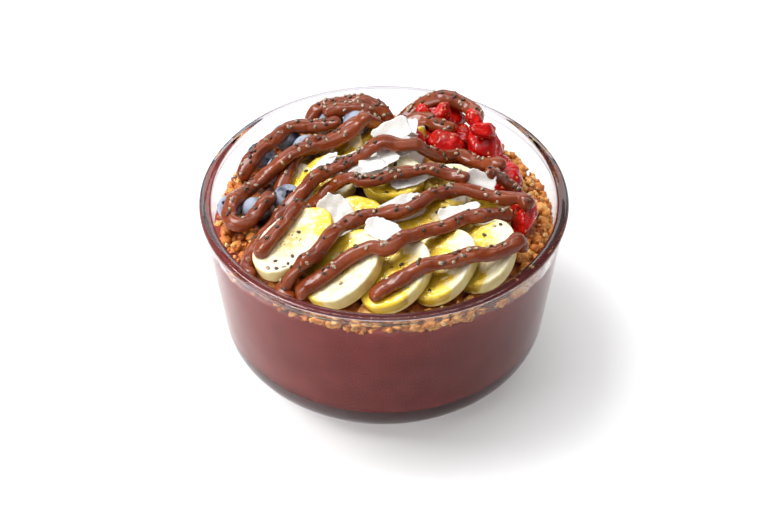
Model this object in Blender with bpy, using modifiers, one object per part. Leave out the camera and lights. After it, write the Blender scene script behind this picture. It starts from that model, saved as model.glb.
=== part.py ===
"""Acai bowl: a clear glass bowl filled with acai, under granola, cut fruit and chocolate drizzle.

Metres, +Z up. The origin is the centre of the bowl's base, on the surface it stands on.
+Y points to the back of the bowl, -Y to the side it is eaten from.
The pieces are laid down in the order the bowl is filled: each one drops straight down
until it rests on the pieces below it, and the granola gives way under them.
"""
import math

import bmesh
import bpy
import numpy as np
from mathutils import Matrix, Vector
from mathutils.bvhtree import BVHTree

# Glass bowl
RIM_RADIUS = 0.0825
BOWL_HEIGHT = 0.085
RIM_WIDTH = 0.0053
RIM_DEPTH = 0.0034
RIM_OVERHANG = 0.0010
RIM_ARC = (math.radians(190), math.radians(-30))
RIM_SQUARENESS = 0.75
RIM_LIFT = 0.55
RIM_STEPS = 7
WALL_THICKNESS = 0.0040
WALL_LEAN = math.radians(5.9)
CORNER_HEIGHT = 0.0213
CORNER_POWER = 2.5
FOOT_RADIUS = 0.0586
FOOT_ROUND = 0.0016
FOOT_WIDTH = 0.0075
FOOT_STEPS = 3
RECESS_SLOPE = 0.001
BASE_RECESS = 0.0008
FLOOR_THICKNESS = 0.0070
FLAT_FLOOR = 0.86
WALL_STEPS = 7
WALL_START = 0.0012
INSIDE_CROWDING = 1.7
OUTSIDE_CROWDING = 0.62
GLASS_STEPS = 32

# Fill levels: the acai slopes down towards the back, and the granola follows it
GAP = 0.0003
ACAI_FRONT_LEVEL = 0.0735
ACAI_SLOPE = 0.061
GRANOLA_EDGE = 0.0055
GRANOLA_RISE = 0.0040
GRANOLA_POWER = 0.8
GRANOLA_BUMP = 0.0007
BUMP_WAVES = (620, 540, 980)
BUMP_CROSSING = 0.6
MOUND = (0.0020, 0.0500)
MOUND_SPREAD = (0.0450, 0.0260)
MOUND_HEIGHT = 0.0060
GRANOLA_RINGS = 11
LEAST_GRANOLA = 0.0012
FRUIT_SINK = 0.0030

# Bananas: x, y, long and short half-width, thickness, then in degrees the turn of the
# long axis, the lean, and the compass direction (0 is +X) that the upper face leans to
BANANA_SIDES = 16
BANANA_EDGE = 0.0014
BANANAS = [
    (0.0310, 0.0060, 0.0135, 0.0125, 0.0070, 20, 12, 280),
    (0.0040, 0.0060, 0.0140, 0.0130, 0.0075, 0, 10, 270),
    (-0.0250, 0.0120, 0.0135, 0.0125, 0.0070, 60, 12, 240),
    (0.0440, -0.0170, 0.0130, 0.0115, 0.0060, 70, 14, 250),
    (0.0190, -0.0210, 0.0135, 0.0130, 0.0070, 40, 16, 250),
    (-0.0130, -0.0200, 0.0140, 0.0130, 0.0065, 30, 14, 250),
    (0.0430, -0.0425, 0.0185, 0.0135, 0.0060, 66, 19, 205),
    (0.0250, -0.0505, 0.0190, 0.0138, 0.0060, 62, 20, 205),
    (0.0055, -0.0560, 0.0190, 0.0140, 0.0060, 58, 21, 205),
    (-0.0165, -0.0530, 0.0200, 0.0145, 0.0065, 50, 20, 205),
    (-0.0385, -0.0395, 0.0200, 0.0142, 0.0065, 42, 16, 205),
]

# Blueberries: x, y, radius, then the lean of the crown and its compass direction
BLUEBERRY_SEGMENTS = 10
BLUEBERRY_RINGS = 7
BLUEBERRY_FLATNESS = 0.88
CROWN_DEPTH = 0.35
BLUEBERRIES = [
    (-0.0690, -0.0030, 0.0052, 30, 250),
    (-0.0570, -0.0060, 0.0056, 40, 90),
    (-0.0470, 0.0230, 0.0062, 25, 160),
    (-0.0430, -0.0010, 0.0062, 35, 300),
    (-0.0575, 0.0360, 0.0058, 20, 120),
    (-0.0460, 0.0480, 0.0062, 30, 30),
    (-0.0360, 0.0370, 0.0060, 45, 280),
    (-0.0270, 0.0600, 0.0066, 20, 90),
    (-0.0080, 0.0630, 0.0066, 50, 290),
    (-0.0125, 0.0510, 0.0064, 50, 290),
]

# Strawberry pieces: x, y, length, width, thickness, turn of the tip, lean, lean direction
STRAWBERRY_SEGMENTS = 12
STRAWBERRY_RINGS = 7
STRAWBERRY_TAPER = 0.42
STRAWBERRY_BULGE = 0.62
STRAWBERRY_CUT = 0.38
STRAWBERRIES = [
    (0.0470, 0.0390, 0.0240, 0.0190, 0.0130, 300, 25, 300),
    (0.0280, 0.0590, 0.0230, 0.0180, 0.0130, 190, 10, 250),
    (0.0550, 0.0130, 0.0200, 0.0160, 0.0120, 270, 20, 270),
    (0.0620, -0.0130, 0.0210, 0.0110, 0.0150, 262, 10, 0),
    (0.0290, 0.0370, 0.0190, 0.0150, 0.0110, 340, 30, 270),
    (0.0110, 0.0370, 0.0180, 0.0140, 0.0100, 230, 25, 250),
]

# Coconut flakes: x, y, length, width, turn, lean, lean direction, curl
FLAKE_THICKNESS = 0.0009
FLAKE_CELLS = (4, 2)
FLAKE_WAIST = 0.30
FLAKE_TAPER = 0.15
FLAKES = [
    (-0.0120, 0.0180, 0.0240, 0.0120, 40, 12, 250, 0.30),
    (0.0040, 0.0290, 0.0170, 0.0110, 20, 35, 260, 0.35),
    (0.0050, 0.0190, 0.0160, 0.0100, 10, 20, 265, 0.25),
    (0.0125, 0.0380, 0.0100, 0.0070, 70, 40, 220, 0.45),
    (-0.0190, -0.0200, 0.0190, 0.0130, 300, 30, 250, 0.45),
    (-0.0340, 0.0000, 0.0140, 0.0060, 60, 25, 240, 0.20),
    (0.0090, -0.0150, 0.0190, 0.0120, 20, 18, 260, 0.30),
    (0.0000, -0.0400, 0.0150, 0.0090, 330, 20, 250, 0.30),
    (0.0330, -0.0210, 0.0180, 0.0090, 10, 25, 265, 0.25),
    (0.0430, -0.0020, 0.0130, 0.0110, 330, 35, 280, 0.40),
    (0.0120, 0.0030, 0.0180, 0.0100, 15, 15, 260, 0.25),
    (-0.0070, 0.0030, 0.0170, 0.0110, 200, 15, 270, 0.25),
]

# Chocolate strands, in plan, each from its first end to its last
STRAND_RADIUS = 0.0025
STRAND_STEP = 0.0050
STRAND_END = 0.6
STRAND_SMOOTHING = 8
STRAND_SLACK = 0.35
ROUTE_STEPS = 20
FEELERS = 8
FEELER_REACH = (0.5, 0.95)
STRAND_LIFT = 0.0002
STRANDS = {
    "chocolate_back_left": [
        (-0.0360, 0.0560), (-0.0310, 0.0600), (-0.0230, 0.0630), (-0.0140, 0.0640),
        (-0.0070, 0.0620), (-0.0010, 0.0590), (0.0040, 0.0550),
    ],
    "chocolate_back_right": [
        (0.0090, 0.0600), (0.0150, 0.0640), (0.0230, 0.0640), (0.0330, 0.0610),
        (0.0400, 0.0570), (0.0430, 0.0500), (0.0410, 0.0430),
    ],
    "chocolate_back_left_inner": [
        (-0.0290, 0.0560), (-0.0230, 0.0570), (-0.0160, 0.0570), (-0.0090, 0.0560),
        (-0.0030, 0.0530),
    ],
    "chocolate_back_right_inner": [
        (0.0080, 0.0530), (0.0150, 0.0550), (0.0220, 0.0520), (0.0270, 0.0460),
        (0.0330, 0.0430),
    ],
    "chocolate_left_outer": [
        (-0.0660, 0.0200), (-0.0620, 0.0270), (-0.0570, 0.0330), (-0.0510, 0.0400),
        (-0.0450, 0.0470), (-0.0370, 0.0500), (-0.0280, 0.0500), (-0.0200, 0.0510),
    ],
    "chocolate_left_inner": [
        (-0.0470, 0.0060), (-0.0440, 0.0160), (-0.0380, 0.0290), (-0.0320, 0.0350),
        (-0.0240, 0.0390), (-0.0150, 0.0450), (-0.0080, 0.0480),
    ],
    "chocolate_left_loop": [
        (-0.0010, 0.0500), (-0.0070, 0.0450), (-0.0130, 0.0410), (-0.0190, 0.0370),
        (-0.0270, 0.0320), (-0.0360, 0.0260), (-0.0440, 0.0190), (-0.0530, 0.0140),
        (-0.0610, 0.0060), (-0.0660, -0.0030), (-0.0685, -0.0110), (-0.0660, -0.0170),
        (-0.0610, -0.0180), (-0.0560, -0.0130), (-0.0520, -0.0060), (-0.0500, 0.0000),
    ],
    "chocolate_long_upper": [
        (-0.0590, -0.0440), (-0.0570, -0.0370), (-0.0520, -0.0250), (-0.0460, -0.0140),
        (-0.0390, -0.0060), (-0.0310, 0.0010), (-0.0220, 0.0090), (-0.0120, 0.0150),
        (0.0000, 0.0180), (0.0100, 0.0170), (0.0200, 0.0200), (0.0290, 0.0270),
        (0.0350, 0.0290), (0.0400, 0.0250), (0.0470, 0.0180), (0.0550, 0.0130),
    ],
    "chocolate_long_lower": [
        (-0.0540, -0.0480), (-0.0480, -0.0400), (-0.0410, -0.0300), (-0.0350, -0.0170),
        (-0.0300, -0.0070), (-0.0250, 0.0000), (-0.0190, 0.0000), (-0.0110, -0.0040),
        (-0.0030, -0.0030), (0.0060, 0.0010), (0.0170, 0.0020), (0.0290, 0.0010),
        (0.0380, -0.0030),
    ],
    "chocolate_long_end": [
        (0.0450, 0.0020), (0.0510, 0.0040), (0.0570, 0.0050), (0.0610, 0.0020),
    ],
    "chocolate_middle": [
        (-0.0420, -0.0590), (-0.0340, -0.0560), (-0.0270, -0.0490), (-0.0210, -0.0400),
        (-0.0150, -0.0300), (-0.0080, -0.0240), (0.0010, -0.0220), (0.0090, -0.0210),
        (0.0160, -0.0170), (0.0230, -0.0110), (0.0330, -0.0070), (0.0430, -0.0090),
        (0.0520, -0.0110), (0.0600, -0.0120), (0.0650, -0.0170),
    ],
    "chocolate_front": [
        (-0.0370, -0.0640), (-0.0290, -0.0610), (-0.0220, -0.0570), (-0.0140, -0.0520),
        (-0.0060, -0.0500), (0.0020, -0.0510), (0.0090, -0.0450), (0.0180, -0.0380),
        (0.0270, -0.0340), (0.0340, -0.0270), (0.0440, -0.0240), (0.0560, -0.0170),
    ],
    "chocolate_front_right": [
        (-0.0060, -0.0690), (0.0010, -0.0660), (0.0080, -0.0630), (0.0170, -0.0590),
        (0.0270, -0.0560), (0.0360, -0.0530), (0.0460, -0.0500), (0.0550, -0.0440),
        (0.0600, -0.0380),
    ],
}

COLOURS = {
    "glass": ((0.90, 0.95, 0.95, 1.0), 0.05),
    "acai": ((0.20, 0.05, 0.06, 1.0), 0.45),
    "granola": ((0.52, 0.25, 0.07, 1.0), 0.70),
    "banana": ((0.86, 0.76, 0.42, 1.0), 0.40),
    "blueberry": ((0.06, 0.09, 0.17, 1.0), 0.50),
    "strawberry": ((0.62, 0.02, 0.02, 1.0), 0.25),
    "coconut": ((0.90, 0.88, 0.80, 1.0), 0.50),
    "chocolate": ((0.17, 0.05, 0.025, 1.0), 0.25),
}
DOWN = Vector((0, 0, -1))
UP = Vector((0, 0, 1))
DROP_FROM = 0.150


def clear_scene():
    for existing in list(bpy.data.objects):
        bpy.data.objects.remove(existing, do_unlink=True)


def new_collection(name):
    collection = bpy.data.collections.new(name)
    bpy.context.scene.collection.children.link(collection)
    return collection


def material(name):
    """One plain finish, made once and shared by the pieces that have it."""
    if name in bpy.data.materials:
        return bpy.data.materials[name]
    colour, roughness = COLOURS[name]
    made = bpy.data.materials.new(name)
    made.use_nodes = True
    shader = made.node_tree.nodes["Principled BSDF"]
    shader.inputs["Base Color"].default_value = colour
    shader.inputs["Roughness"].default_value = roughness
    if name == "glass":
        shader.inputs["Transmission Weight"].default_value = 1.0
    return made


def add_piece(name, shape, finish, collection):
    """A named object from a bmesh, which is freed."""
    mesh = bpy.data.meshes.new(name)
    bmesh.ops.recalc_face_normals(shape, faces=shape.faces)
    shape.to_mesh(mesh)
    shape.free()
    piece = bpy.data.objects.new(name, mesh)
    mesh.materials.append(material(finish))
    collection.objects.link(piece)
    return piece


# ---------------------------------------------------------------- bowl and acai


def outer_radius(height):
    """The glass's outside: a leaning wall that curves in to the foot below CORNER_HEIGHT."""
    top = RIM_RADIUS - RIM_OVERHANG
    radius = top - (BOWL_HEIGHT - RIM_DEPTH - height) * math.tan(WALL_LEAN)
    if height < CORNER_HEIGHT:
        foot = top - (BOWL_HEIGHT - RIM_DEPTH) * math.tan(WALL_LEAN)
        radius -= (foot - FOOT_RADIUS) * (1 - height / CORNER_HEIGHT) ** CORNER_POWER
    return radius


def inner_radius(height):
    """The glass's inside: the same curve one wall thickness in, closing above the floor."""
    above = (height - FLOOR_THICKNESS) / (BOWL_HEIGHT - FLOOR_THICKNESS)
    seen_from = height - FLOOR_THICKNESS * (1 - above) ** 2
    return outer_radius(seen_from) - WALL_THICKNESS


def inner_profile(top, offset):
    """(radius, height) pairs from the middle of the floor out and up to a height."""
    floor = FLOOR_THICKNESS + offset
    rise = np.linspace(0, 1, WALL_STEPS) ** INSIDE_CROWDING
    heights = floor + (top - floor) * rise
    profile = [(0, floor), (inner_radius(floor) * FLAT_FLOOR, floor)]
    return profile + [(inner_radius(height) - offset, height) for height in heights[1:]]


def rim_arc():
    """The rim's rounded bead, from its inner side over the top to its outer side."""
    centre = RIM_RADIUS - RIM_WIDTH / 2
    arc = []
    for turn in np.linspace(*RIM_ARC, RIM_STEPS):
        bulge = abs(math.cos(turn)) ** RIM_SQUARENESS * math.copysign(1, math.cos(turn))
        height = BOWL_HEIGHT - RIM_DEPTH * RIM_LIFT * (1 - math.sin(turn))
        arc.append((centre + RIM_WIDTH / 2 * bulge, height))
    return arc


def foot_profile():
    """The rounded foot, its flat ring and the shallow hollow inside it, out to in."""
    round_off = []
    for turn in np.linspace(0, math.pi / 2, FOOT_STEPS):
        out = FOOT_RADIUS - FOOT_ROUND * (1 - math.cos(turn))
        round_off.append((out, FOOT_ROUND * (1 - math.sin(turn))))
    ring = FOOT_RADIUS - FOOT_ROUND - FOOT_WIDTH
    return round_off + [(ring, 0), (ring - RECESS_SLOPE, BASE_RECESS), (0, BASE_RECESS)]


def turned_piece(name, profile, finish, collection, steps):
    """A profile swept round the Z axis by a Screw modifier."""
    shape = bmesh.new()
    corners = [shape.verts.new((radius, 0, height)) for radius, height in profile]
    for first, second in zip(corners, corners[1:]):
        shape.edges.new((first, second))
    piece = add_piece(name, shape, finish, collection)
    screw = piece.modifiers.new("turn", "SCREW")
    screw.steps = screw.render_steps = steps
    screw.use_merge_vertices = True
    screw.merge_threshold = 0.00001
    screw.use_smooth_shade = True
    return piece


def build_bowl(parts):
    wall_bottom = FOOT_ROUND + WALL_START
    wall_top = BOWL_HEIGHT - RIM_DEPTH
    drop = np.linspace(0, 1, WALL_STEPS) ** OUTSIDE_CROWDING
    heights = wall_top + (wall_bottom - wall_top) * drop
    outside = [(outer_radius(height), height) for height in heights]
    profile = inner_profile(wall_top, 0) + rim_arc() + outside + foot_profile()
    return turned_piece("glass_bowl", profile, "glass", parts, GLASS_STEPS)


def acai_level(y):
    return ACAI_FRONT_LEVEL - ACAI_SLOPE * (y + RIM_RADIUS)


def build_acai(parts, cutters):
    """The acai fills the bowl's inside up to its sloping top, which a tilted block cuts."""
    top = BOWL_HEIGHT - RIM_DEPTH
    profile = [(0, top)] + inner_profile(top, GAP)[::-1]
    acai = turned_piece("acai_base", profile, "acai", parts, GLASS_STEPS)
    shape = bmesh.new()
    bmesh.ops.create_cube(shape, size=3 * RIM_RADIUS)
    block = add_piece("acai_cutter", shape, "acai", cutters)
    tilt = Matrix.Rotation(-math.atan(ACAI_SLOPE), 4, "X")
    middle = Vector((0, 0, acai_level(0)))
    lift = Matrix.Translation(UP * 1.5 * RIM_RADIUS)
    block.matrix_world = Matrix.Translation(middle) @ tilt @ lift
    block.hide_render = True
    block.display_type = "WIRE"
    cut = acai.modifiers.new("level", "BOOLEAN")
    cut.operation = "DIFFERENCE"
    cut.object = block
    return acai


# ---------------------------------------------------------------- laying pieces down


def granola_level(x, y):
    """The granola's top before anything lies on it: a low uneven dome, and a mound at the back."""
    reach = min(1.0, math.hypot(x, y) / inner_radius(ACAI_FRONT_LEVEL))
    dome = GRANOLA_RISE * (1 - reach * reach) ** GRANOLA_POWER
    away = ((x - MOUND[0]) / MOUND_SPREAD[0]) ** 2 + ((y - MOUND[1]) / MOUND_SPREAD[1]) ** 2
    dome += MOUND_HEIGHT * math.exp(-away)
    bumps = math.sin(x * BUMP_WAVES[0] + 1.0) * math.sin(y * BUMP_WAVES[1])
    bumps += BUMP_CROSSING * math.sin((x + y) * BUMP_WAVES[2])
    return acai_level(y) + GRANOLA_EDGE + dome + GRANOLA_BUMP * bumps


class Heap:
    """The pieces that already lie in the bowl, as points and faces in world space."""

    def __init__(self):
        self.points = []
        self.faces = []
        self.tree = None

    def add(self, piece):
        points, faces = world_mesh(piece)
        start = len(self.points)
        self.points += points
        self.faces += [[start + corner for corner in face] for face in faces]
        self.tree = BVHTree.FromPolygons(self.points, self.faces)

    def top(self, x, y):
        """The highest point above or below (x, y): a piece's, or else the granola's."""
        level = granola_level(x, y)
        if self.tree is None:
            return level
        hit = self.tree.ray_cast(Vector((x, y, DROP_FROM)), DOWN)[0]
        return level if hit is None else max(level, hit.z)

    def lowest_above(self, x, y):
        """The underside of the lowest piece over (x, y), or infinity."""
        hit = self.tree.ray_cast(Vector((x, y, 0)), UP)[0]
        return math.inf if hit is None else hit.z


def world_mesh(piece):
    """A piece's points and faces as its modifiers leave them, in world space."""
    bpy.context.view_layer.update()
    evaluated = piece.evaluated_get(bpy.context.evaluated_depsgraph_get())
    mesh = evaluated.to_mesh()
    points = [evaluated.matrix_world @ vertex.co for vertex in mesh.vertices]
    faces = [list(polygon.vertices) for polygon in mesh.polygons]
    evaluated.to_mesh_clear()
    return points, faces


def settle(piece, heap):
    """Drops a piece straight down until it rests on the heap or presses into the granola."""
    piece.location.z = DROP_FROM
    points, faces = world_mesh(piece)
    own = BVHTree.FromPolygons(points, faces)
    drops = [point.z - granola_level(point.x, point.y) + FRUIT_SINK for point in points]
    if heap.tree:
        for point in points:
            drops.append(heap.tree.ray_cast(point, DOWN)[3] or math.inf)
        for point in heap.points:
            drops.append(own.ray_cast(point, UP)[3] or math.inf)
    piece.location.z -= min(drops) - GAP
    while heap.tree and heap.tree.overlap(BVHTree.FromPolygons(*world_mesh(piece))):
        piece.location.z += GAP / 3
    piece.location.z += GAP
    heap.add(piece)


def leaning(turn, lean, towards):
    """A turn about Z, then a lean towards a compass direction, all in degrees."""
    axis = Vector((-math.sin(math.radians(towards)), math.cos(math.radians(towards)), 0))
    return Matrix.Rotation(math.radians(lean), 3, axis) @ Matrix.Rotation(math.radians(turn), 3, "Z")


def lay(piece, x, y, turn, lean, towards, heap):
    piece.rotation_mode = "QUATERNION"
    piece.rotation_quaternion = leaning(turn, lean, towards).to_quaternion()
    piece.location = (x, y, 0)
    piece.data.shade_smooth()
    piece.data.set_sharp_from_angle(angle=math.radians(35))
    settle(piece, heap)


# ---------------------------------------------------------------- fruit


def build_bananas(parts, heap):
    """Slices cut at a slant: oval discs whose edges are rounded off."""
    for number, place in enumerate(BANANAS, 1):
        x, y, long_half, short_half, thickness, turn, lean, towards = place
        shape = bmesh.new()
        bmesh.ops.create_cone(
            shape, cap_ends=True, segments=BANANA_SIDES, radius1=1, radius2=1, depth=thickness
        )
        bmesh.ops.scale(shape, vec=(long_half, short_half, 1), verts=shape.verts)
        rims = [edge for edge in shape.edges if abs(edge.verts[0].co.z - edge.verts[1].co.z) < GAP]
        bmesh.ops.bevel(shape, geom=rims, offset=BANANA_EDGE, segments=1, affect="EDGES")
        piece = add_piece(f"banana_slice_{number:02d}", shape, "banana", parts)
        lay(piece, x, y, turn, lean, towards, heap)


def build_blueberries(parts, heap):
    """Slightly flattened globes with a dimple where the crown is."""
    for number, (x, y, radius, lean, towards) in enumerate(BLUEBERRIES, 1):
        shape = bmesh.new()
        bmesh.ops.create_uvsphere(
            shape, u_segments=BLUEBERRY_SEGMENTS, v_segments=BLUEBERRY_RINGS, radius=radius
        )
        bmesh.ops.scale(shape, vec=(1, 1, BLUEBERRY_FLATNESS), verts=shape.verts)
        crown = max(shape.verts, key=lambda corner: corner.co.z)
        crown.co.z -= radius * CROWN_DEPTH
        piece = add_piece(f"blueberry_{number:02d}", shape, "blueberry", parts)
        lay(piece, x, y, 0, lean, towards, heap)


def build_strawberries(parts, heap):
    """Halved and quartered berries: a tapered half globe, its cut face underneath."""
    for number, place in enumerate(STRAWBERRIES, 1):
        x, y, length, width, thickness, turn, lean, towards = place
        shape = bmesh.new()
        bmesh.ops.create_uvsphere(
            shape, u_segments=STRAWBERRY_SEGMENTS, v_segments=STRAWBERRY_RINGS, radius=1,
            matrix=Matrix.Rotation(math.pi / 2, 4, "Y"),
        )
        for corner in shape.verts:
            along = corner.co.x
            swell = 1 - STRAWBERRY_TAPER * max(0, along) ** 1.5
            corner.co.x = along * length / 2
            corner.co.y *= width / 2 * swell
            corner.co.z *= thickness * STRAWBERRY_BULGE * swell
        everything = shape.verts[:] + shape.edges[:] + shape.faces[:]
        cut = bmesh.ops.bisect_plane(
            shape, geom=everything, plane_co=(0, 0, -thickness * STRAWBERRY_CUT), plane_no=(0, 0, -1),
            clear_outer=True,
        )
        rim = [item for item in cut["geom_cut"] if isinstance(item, bmesh.types.BMEdge)]
        bmesh.ops.contextual_create(shape, geom=rim)
        piece = add_piece(f"strawberry_piece_{number:02d}", shape, "strawberry", parts)
        lay(piece, x, y, turn, lean, towards, heap)


def build_flakes(parts, heap):
    """Shaved coconut: thin plates, curled along their length and narrowed to one end."""
    for number, (x, y, length, width, turn, lean, towards, curl) in enumerate(FLAKES, 1):
        shape = bmesh.new()
        bmesh.ops.create_grid(shape, x_segments=FLAKE_CELLS[0], y_segments=FLAKE_CELLS[1], size=1)
        for corner in shape.verts:
            along, across = corner.co.x, corner.co.y
            swell = 1 - FLAKE_WAIST * along * along - FLAKE_TAPER * along
            corner.co = (
                along * length / 2,
                across * width / 2 * swell,
                curl * length / 4 * along * along + curl * width / 5 * across * across,
            )
        piece = add_piece(f"coconut_flake_{number:02d}", shape, "coconut", parts)
        shell = piece.modifiers.new("thickness", "SOLIDIFY")
        shell.thickness = FLAKE_THICKNESS
        shell.offset = 0
        lay(piece, x, y, turn, lean, towards, heap)


# ---------------------------------------------------------------- chocolate


def even_route(corners, step):
    """Points a step apart on the smooth (Catmull-Rom) curve through the corners."""
    knots = np.array([corners[0]] + list(corners) + [corners[-1]], float)
    fine = []
    for before, start, end, after in zip(knots, knots[1:], knots[2:], knots[3:]):
        pull = end - before
        bend = 2 * before - 5 * start + 4 * end - after
        twist = 3 * (start - end) + after - before
        for t in np.linspace(0, 1, ROUTE_STEPS, endpoint=False):
            fine.append(start + 0.5 * (t * pull + t * t * bend + t**3 * twist))
    fine = np.array(fine + [knots[-1]])
    lengths = np.concatenate([[0], np.cumsum(np.linalg.norm(np.diff(fine, axis=0), axis=1))])
    count = max(3, round(lengths[-1] / step) + 1)
    places = np.linspace(0, lengths[-1], count)
    return np.stack([np.interp(places, lengths, fine[:, axis]) for axis in (0, 1)], axis=1)


def rolling_height(x, y, heap):
    """The height of a strand's centre when it just touches what lies under it."""
    height = heap.top(x, y) + STRAND_RADIUS
    for reach in FEELER_REACH:
        for turn in np.arange(FEELERS) * 2 * math.pi / FEELERS:
            out = reach * STRAND_RADIUS
            below = heap.top(x + out * math.cos(turn), y + out * math.sin(turn))
            height = max(height, below + STRAND_RADIUS * math.sqrt(1 - reach * reach))
    return height


def build_strand(name, corners, parts, heap):
    """A piped strand draped over the heap: a tube whose ends taper."""
    route = even_route(corners, STRAND_STEP)
    heights = np.array([rolling_height(x, y, heap) for x, y in route]) + GAP
    for _ in range(STRAND_SMOOTHING):
        middle = (heights[:-2] + heights[2:]) / 2
        eased = STRAND_SLACK * heights[1:-1] + (1 - STRAND_SLACK) * middle
        heights[1:-1] = np.maximum(heights[1:-1], eased)
    curve = bpy.data.curves.new(name, "CURVE")
    curve.dimensions = "3D"
    curve.bevel_depth = STRAND_RADIUS
    curve.bevel_resolution = 1
    curve.use_fill_caps = True
    curve.materials.append(material("chocolate"))
    spline = curve.splines.new("POLY")
    spline.points.add(len(route) - 1)
    for point in (spline.points[0], spline.points[-1]):
        point.radius = STRAND_END
    strand = bpy.data.objects.new(name, curve)
    parts.objects.link(strand)
    clashes = True
    while clashes:
        for point, (x, y), height in zip(spline.points, route, heights):
            point.co = (x, y, height, 1)
        points, faces = world_mesh(strand)
        clashes = {first for first, _ in BVHTree.FromPolygons(points, faces).overlap(heap.tree)}
        for face in clashes:
            middle = sum((points[corner] for corner in faces[face]), Vector()) / len(faces[face])
            away = np.hypot(route[:, 0] - middle.x, route[:, 1] - middle.y)
            heights[np.argsort(away)[:2]] += STRAND_LIFT
    heap.add(strand)


# ---------------------------------------------------------------- granola


def build_granola(parts, heap):
    """The granola layer: over the acai, out to the glass, and hollowed under the pieces."""
    rings = [(number + 1) / GRANOLA_RINGS for number in range(GRANOLA_RINGS)]
    turns = np.arange(GLASS_STEPS) * 2 * math.pi / GLASS_STEPS
    reach = inner_radius(ACAI_FRONT_LEVEL) / GRANOLA_RINGS / 2
    shape = bmesh.new()

    def pressed(x, y):
        level = granola_level(x, y)
        for dx in (-reach, 0, reach):
            for dy in (-reach, 0, reach):
                level = min(level, heap.lowest_above(x + dx, y + dy) - GAP)
        return max(level, acai_level(y) + LEAST_GRANOLA)

    def ring_at(share, height_at):
        ring = []
        for turn in turns:
            edge = inner_radius(ACAI_FRONT_LEVEL)
            x, y = edge * share * math.cos(turn), edge * share * math.sin(turn)
            height = height_at(x, y)
            fit = (inner_radius(height) - 2 * GAP) / edge
            ring.append(shape.verts.new((x * fit, y * fit, height)))
        return ring

    def underside(x, y):
        return acai_level(y) + GAP

    stack = [[shape.verts.new((0, 0, underside(0, 0)))], ring_at(1, underside)]
    stack += [ring_at(share, pressed) for share in reversed(rings)]
    stack.append([shape.verts.new((0, 0, pressed(0, 0)))])
    for lower, upper in zip(stack, stack[1:]):
        for step in range(GLASS_STEPS):
            corners = [ring[(step + shift) % len(ring)] for ring, shift in
                       ((lower, 0), (lower, 1), (upper, 1), (upper, 0))]
            shape.faces.new(list(dict.fromkeys(corners)))
    bmesh.ops.triangulate(shape, faces=shape.faces)
    piece = add_piece("granola_bed", shape, "granola", parts)
    free_from(piece, heap)


def free_from(piece, heap):
    """Lowers the granola's top wherever a face still meets a piece that lies in it."""
    clashes = True
    while clashes:
        points, faces = world_mesh(piece)
        clashes = {first for first, _ in BVHTree.FromPolygons(points, faces).overlap(heap.tree)}
        for corner in {corner for face in clashes for corner in faces[face]}:
            vertex = piece.data.vertices[corner]
            floor = acai_level(vertex.co.y) + LEAST_GRANOLA / 2
            vertex.co.z = max(vertex.co.z - GAP, min(floor, vertex.co.z))


def main():
    clear_scene()
    parts = new_collection("acai_bowl")
    cutters = new_collection("cutters")
    heap = Heap()
    build_bowl(parts)
    build_acai(parts, cutters)
    build_blueberries(parts, heap)
    build_strawberries(parts, heap)
    build_bananas(parts, heap)
    build_flakes(parts, heap)
    for name, corners in STRANDS.items():
        build_strand(name, corners, parts, heap)
    build_granola(parts, heap)


main()
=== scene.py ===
import math

import bpy
import numpy as np
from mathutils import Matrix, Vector
from mathutils.bvhtree import BVHTree


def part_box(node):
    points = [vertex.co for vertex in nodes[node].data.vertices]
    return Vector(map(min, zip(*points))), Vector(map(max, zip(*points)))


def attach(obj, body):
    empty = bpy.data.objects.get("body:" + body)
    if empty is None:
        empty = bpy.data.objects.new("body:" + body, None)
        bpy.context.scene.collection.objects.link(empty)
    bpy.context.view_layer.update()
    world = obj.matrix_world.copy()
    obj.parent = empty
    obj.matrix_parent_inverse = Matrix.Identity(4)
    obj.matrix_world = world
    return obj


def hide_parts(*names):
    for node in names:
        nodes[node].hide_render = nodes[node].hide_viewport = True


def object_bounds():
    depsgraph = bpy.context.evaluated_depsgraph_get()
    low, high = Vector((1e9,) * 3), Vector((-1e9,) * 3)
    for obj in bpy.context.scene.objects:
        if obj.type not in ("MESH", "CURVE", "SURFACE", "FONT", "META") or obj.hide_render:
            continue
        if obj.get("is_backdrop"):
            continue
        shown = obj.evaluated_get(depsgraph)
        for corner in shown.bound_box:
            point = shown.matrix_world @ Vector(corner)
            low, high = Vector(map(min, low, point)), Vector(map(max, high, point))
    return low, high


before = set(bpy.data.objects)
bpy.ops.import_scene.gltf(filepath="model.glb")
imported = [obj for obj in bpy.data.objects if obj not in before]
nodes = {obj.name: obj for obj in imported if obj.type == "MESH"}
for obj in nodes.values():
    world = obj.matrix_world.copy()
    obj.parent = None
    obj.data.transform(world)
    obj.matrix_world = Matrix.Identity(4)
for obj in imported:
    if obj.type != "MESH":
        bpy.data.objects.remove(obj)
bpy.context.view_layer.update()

# ---- glass bowl
# A round storage bowl of clear pressed glass: a leaning wall that curves in to a small
# foot, and a rounded bead for a rim. It is one profile turned round the upright axis.

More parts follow.
